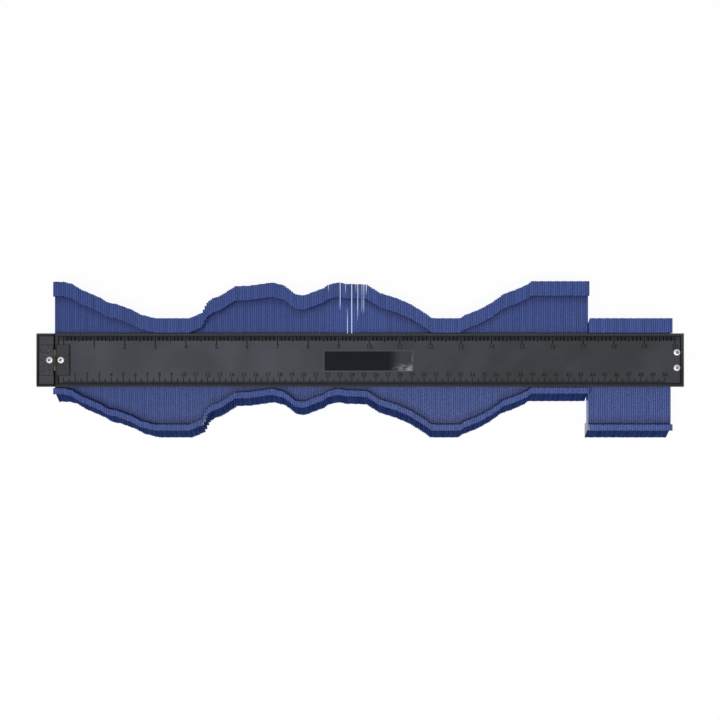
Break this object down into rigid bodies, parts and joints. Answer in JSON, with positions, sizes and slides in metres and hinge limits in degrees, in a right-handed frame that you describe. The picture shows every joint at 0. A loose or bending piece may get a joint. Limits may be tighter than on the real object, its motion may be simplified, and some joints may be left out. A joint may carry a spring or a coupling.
{
  "type": "contour gauge",
  "caption": "Long contour gauge: thin sliding fins between two plates with a ruler face take a shape's outline, and a hinged end block locks them.",
  "frame": {"origin": "middle of the whole outline, on the back face that the gauge lies on", "axes": "+X along the gauge from the lock to the closed end, +Y along the fins towards the edge with the inch scale, +Z out of the scale face"},
  "size_m": [0.5384, 0.1316, 0.0203],
  "materials": {
    "frame_plastic": "fine matte, dark grey",
    "fin_plastic": "satin, slate blue",
    "foam": "closed-cell foam, black",
    "black_steel": "black, satin",
    "bright_steel": "bright plated",
    "brass": "dull"
  },
  "bodies": {
    "frame": {"front_frame": "frame_plastic", "rear_frame": "frame_plastic", "front_upper_strip": "foam", "front_lower_strip": "foam", "rear_upper_strip": "foam", "rear_lower_strip": "foam", "hinge_leaf_frame": "black_steel", "hinge_pin": "brass", "leaf_screw": "bright_steel", "end_screws": "bright_steel"},
    "lock": {"lock_lever": "frame_plastic", "pressure_pad": "foam", "hinge_leaf_lever": "black_steel", "lever_screw": "bright_steel"},
    "fin_pack_01": {"fin_pack_01": "fin_plastic"},
    "fin_pack_02": {"fin_pack_02": "fin_plastic"},
    "fin_pack_03": {"fin_pack_03": "fin_plastic"},
    "fin_pack_04": {"fin_pack_04": "fin_plastic"},
    "fin_pack_05": {"fin_pack_05": "fin_plastic"},
    "fin_pack_06": {"fin_pack_06": "fin_plastic"},
    "fin_pack_07": {"fin_pack_07": "fin_plastic"},
    "fin_pack_08": {"fin_pack_08": "fin_plastic"},
    "fin_pack_09": {"fin_pack_09": "fin_plastic"},
    "fin_pack_10": {"fin_pack_10": "fin_plastic"},
    "fin_pack_11": {"fin_pack_11": "fin_plastic"},
    "fin_pack_12": {"fin_pack_12": "fin_plastic"},
    "fin_pack_13": {"fin_pack_13": "fin_plastic"},
    "fin_pack_14": {"fin_pack_14": "fin_plastic"},
    "fin_pack_15": {"fin_pack_15": "fin_plastic"},
    "fin_pack_16": {"fin_pack_16": "fin_plastic"},
    "fin_pack_17": {"fin_pack_17": "fin_plastic"},
    "fin_pack_18": {"fin_pack_18": "fin_plastic"},
    "fin_pack_19": {"fin_pack_19": "fin_plastic"},
    "fin_pack_20": {"fin_pack_20": "fin_plastic"},
    "fin_pack_21": {"fin_pack_21": "fin_plastic"},
    "fin_pack_22": {"fin_pack_22": "fin_plastic"},
    "fin_pack_23": {"fin_pack_23": "fin_plastic"},
    "fin_pack_24": {"fin_pack_24": "fin_plastic"},
    "fin_pack_25": {"fin_pack_25": "fin_plastic"},
    "fin_pack_26": {"fin_pack_26": "fin_plastic"},
    "fin_pack_27": {"fin_pack_27": "fin_plastic"},
    "fin_pack_28": {"fin_pack_28": "fin_plastic"},
    "fin_pack_29": {"fin_pack_29": "fin_plastic"},
    "fin_pack_30": {"fin_pack_30": "fin_plastic"},
    "fin_pack_31": {"fin_pack_31": "fin_plastic"},
    "fin_pack_32": {"fin_pack_32": "fin_plastic"},
    "fin_pack_33": {"fin_pack_33": "fin_plastic"},
    "fin_pack_34": {"fin_pack_34": "fin_plastic"},
    "fin_pack_35": {"fin_pack_35": "fin_plastic"},
    "fin_pack_36": {"fin_pack_36": "fin_plastic"},
    "fin_pack_37": {"fin_pack_37": "fin_plastic"},
    "fin_pack_38": {"fin_pack_38": "fin_plastic"},
    "fin_pack_39": {"fin_pack_39": "fin_plastic"},
    "fin_pack_40": {"fin_pack_40": "fin_plastic"},
    "fin_pack_41": {"fin_pack_41": "fin_plastic"},
    "fin_pack_42": {"fin_pack_42": "fin_plastic"},
    "fin_pack_43": {"fin_pack_43": "fin_plastic"}
  },
  "joints": [
    {"name": "lock_hinge", "type": "hinge", "parent": "frame", "child": "lock", "pos_m": [-0.25356, 0, 0.019], "axis": [0, 1, 0], "range_deg": [0, 110]},
    {"name": "fin_slide_01", "type": "slide", "parent": "frame", "child": "fin_pack_01", "axis": [0, 1, 0], "range_m": [-0.0301, 0.0004]},
    {"name": "fin_slide_02", "type": "slide", "parent": "frame", "child": "fin_pack_02", "axis": [0, 1, 0], "range_m": [-0.0245, 0.00129]},
    {"name": "fin_slide_03", "type": "slide", "parent": "frame", "child": "fin_pack_03", "axis": [0, 1, 0], "range_m": [-0.01915, 0.00722]},
    {"name": "fin_slide_04", "type": "slide", "parent": "frame", "child": "fin_pack_04", "axis": [0, 1, 0], "range_m": [-0.01287, 0.0125]},
    {"name": "fin_slide_05", "type": "slide", "parent": "frame", "child": "fin_pack_05", "axis": [0, 1, 0], "range_m": [-0.00952, 0.01837]},
    {"name": "fin_slide_06", "type": "slide", "parent": "frame", "child": "fin_pack_06", "axis": [0, 1, 0], "range_m": [-0.00483, 0.02203]},
    {"name": "fin_slide_07", "type": "slide", "parent": "frame", "child": "fin_pack_07", "axis": [0, 1, 0], "range_m": [-0.0006, 0.02704]},
    {"name": "fin_slide_08", "type": "slide", "parent": "frame", "child": "fin_pack_08", "axis": [0, 1, 0], "range_m": [0, 0.03037]},
    {"name": "fin_slide_09", "type": "slide", "parent": "frame", "child": "fin_pack_09", "axis": [0, 1, 0], "range_m": [0, 0.03077]},
    {"name": "fin_slide_10", "type": "slide", "parent": "frame", "child": "fin_pack_10", "axis": [0, 1, 0], "range_m": [0, 0.02856]},
    {"name": "fin_slide_11", "type": "slide", "parent": "frame", "child": "fin_pack_11", "axis": [0, 1, 0], "range_m": [-0.0033, 0.01633]},
    {"name": "fin_slide_12", "type": "slide", "parent": "frame", "child": "fin_pack_12", "axis": [0, 1, 0], "range_m": [-0.01551, 0.01031]},
    {"name": "fin_slide_13", "type": "slide", "parent": "frame", "child": "fin_pack_13", "axis": [0, 1, 0], "range_m": [-0.02146, 0.00417]},
    {"name": "fin_slide_14", "type": "slide", "parent": "frame", "child": "fin_pack_14", "axis": [0, 1, 0], "range_m": [-0.02666, 0.00325]},
    {"name": "fin_slide_15", "type": "slide", "parent": "frame", "child": "fin_pack_15", "axis": [0, 1, 0], "range_m": [-0.02777, 0.00153]},
    {"name": "fin_slide_16", "type": "slide", "parent": "frame", "child": "fin_pack_16", "axis": [0, 1, 0], "range_m": [-0.02812, 0.00124]},
    {"name": "fin_slide_17", "type": "slide", "parent": "frame", "child": "fin_pack_17", "axis": [0, 1, 0], "range_m": [-0.01993, 0.00327]},
    {"name": "fin_slide_18", "type": "slide", "parent": "frame", "child": "fin_pack_18", "axis": [0, 1, 0], "range_m": [-0.0191, 0.00963]},
    {"name": "fin_slide_19", "type": "slide", "parent": "frame", "child": "fin_pack_19", "axis": [0, 1, 0], "range_m": [-0.02173, 0.00462]},
    {"name": "fin_slide_20", "type": "slide", "parent": "frame", "child": "fin_pack_20", "axis": [0, 1, 0], "range_m": [-0.02747, 0.0012]},
    {"name": "fin_slide_21", "type": "slide", "parent": "frame", "child": "fin_pack_21", "axis": [0, 1, 0], "range_m": [-0.02821, 0.0016]},
    {"name": "fin_slide_22", "type": "slide", "parent": "frame", "child": "fin_pack_22", "axis": [0, 1, 0], "range_m": [-0.02593, 0.00244]},
    {"name": "fin_slide_23", "type": "slide", "parent": "frame", "child": "fin_pack_23", "axis": [0, 1, 0], "range_m": [-0.01961, 0.00605]},
    {"name": "fin_slide_24", "type": "slide", "parent": "frame", "child": "fin_pack_24", "axis": [0, 1, 0], "range_m": [-0.01542, 0.01188]},
    {"name": "fin_slide_25", "type": "slide", "parent": "frame", "child": "fin_pack_25", "axis": [0, 1, 0], "range_m": [-0.00945, 0.01622]},
    {"name": "fin_slide_26", "type": "slide", "parent": "frame", "child": "fin_pack_26", "axis": [0, 1, 0], "range_m": [-0.00146, 0.02248]},
    {"name": "fin_slide_27", "type": "slide", "parent": "frame", "child": "fin_pack_27", "axis": [0, 1, 0], "range_m": [0, 0.03062]},
    {"name": "fin_slide_28", "type": "slide", "parent": "frame", "child": "fin_pack_28", "axis": [0, 1, 0], "range_m": [0, 0.03078]},
    {"name": "fin_slide_29", "type": "slide", "parent": "frame", "child": "fin_pack_29", "axis": [0, 1, 0], "range_m": [-0.00003, 0.02572]},
    {"name": "fin_slide_30", "type": "slide", "parent": "frame", "child": "fin_pack_30", "axis": [0, 1, 0], "range_m": [-0.0057, 0.01994]},
    {"name": "fin_slide_31", "type": "slide", "parent": "frame", "child": "fin_pack_31", "axis": [0, 1, 0], "range_m": [-0.01173, 0.01174]},
    {"name": "fin_slide_32", "type": "slide", "parent": "frame", "child": "fin_pack_32", "axis": [0, 1, 0], "range_m": [-0.02016, 0.00757]},
    {"name": "fin_slide_33", "type": "slide", "parent": "frame", "child": "fin_pack_33", "axis": [0, 1, 0], "range_m": [-0.02423, 0.00155]},
    {"name": "fin_slide_34", "type": "slide", "parent": "frame", "child": "fin_pack_34", "axis": [0, 1, 0], "range_m": [-0.03066, 0]},
    {"name": "fin_slide_35", "type": "slide", "parent": "frame", "child": "fin_pack_35", "axis": [0, 1, 0], "range_m": [-0.03072, 0]},
    {"name": "fin_slide_36", "type": "slide", "parent": "frame", "child": "fin_pack_36", "axis": [0, 1, 0], "range_m": [-0.03073, 0]},
    {"name": "fin_slide_37", "type": "slide", "parent": "frame", "child": "fin_pack_37", "axis": [0, 1, 0], "range_m": [-0.03075, 0]},
    {"name": "fin_slide_38", "type": "slide", "parent": "frame", "child": "fin_pack_38", "axis": [0, 1, 0], "range_m": [0, 0.03073]},
    {"name": "fin_slide_39", "type": "slide", "parent": "frame", "child": "fin_pack_39", "axis": [0, 1, 0], "range_m": [0, 0.03071]},
    {"name": "fin_slide_40", "type": "slide", "parent": "frame", "child": "fin_pack_40", "axis": [0, 1, 0], "range_m": [0, 0.0307]},
    {"name": "fin_slide_41", "type": "slide", "parent": "frame", "child": "fin_pack_41", "axis": [0, 1, 0], "range_m": [0, 0.03078]},
    {"name": "fin_slide_42", "type": "slide", "parent": "frame", "child": "fin_pack_42", "axis": [0, 1, 0], "range_m": [0, 0.03077]},
    {"name": "fin_slide_43", "type": "slide", "parent": "frame", "child": "fin_pack_43", "axis": [0, 1, 0], "range_m": [0, 0.03075]}
  ]
}
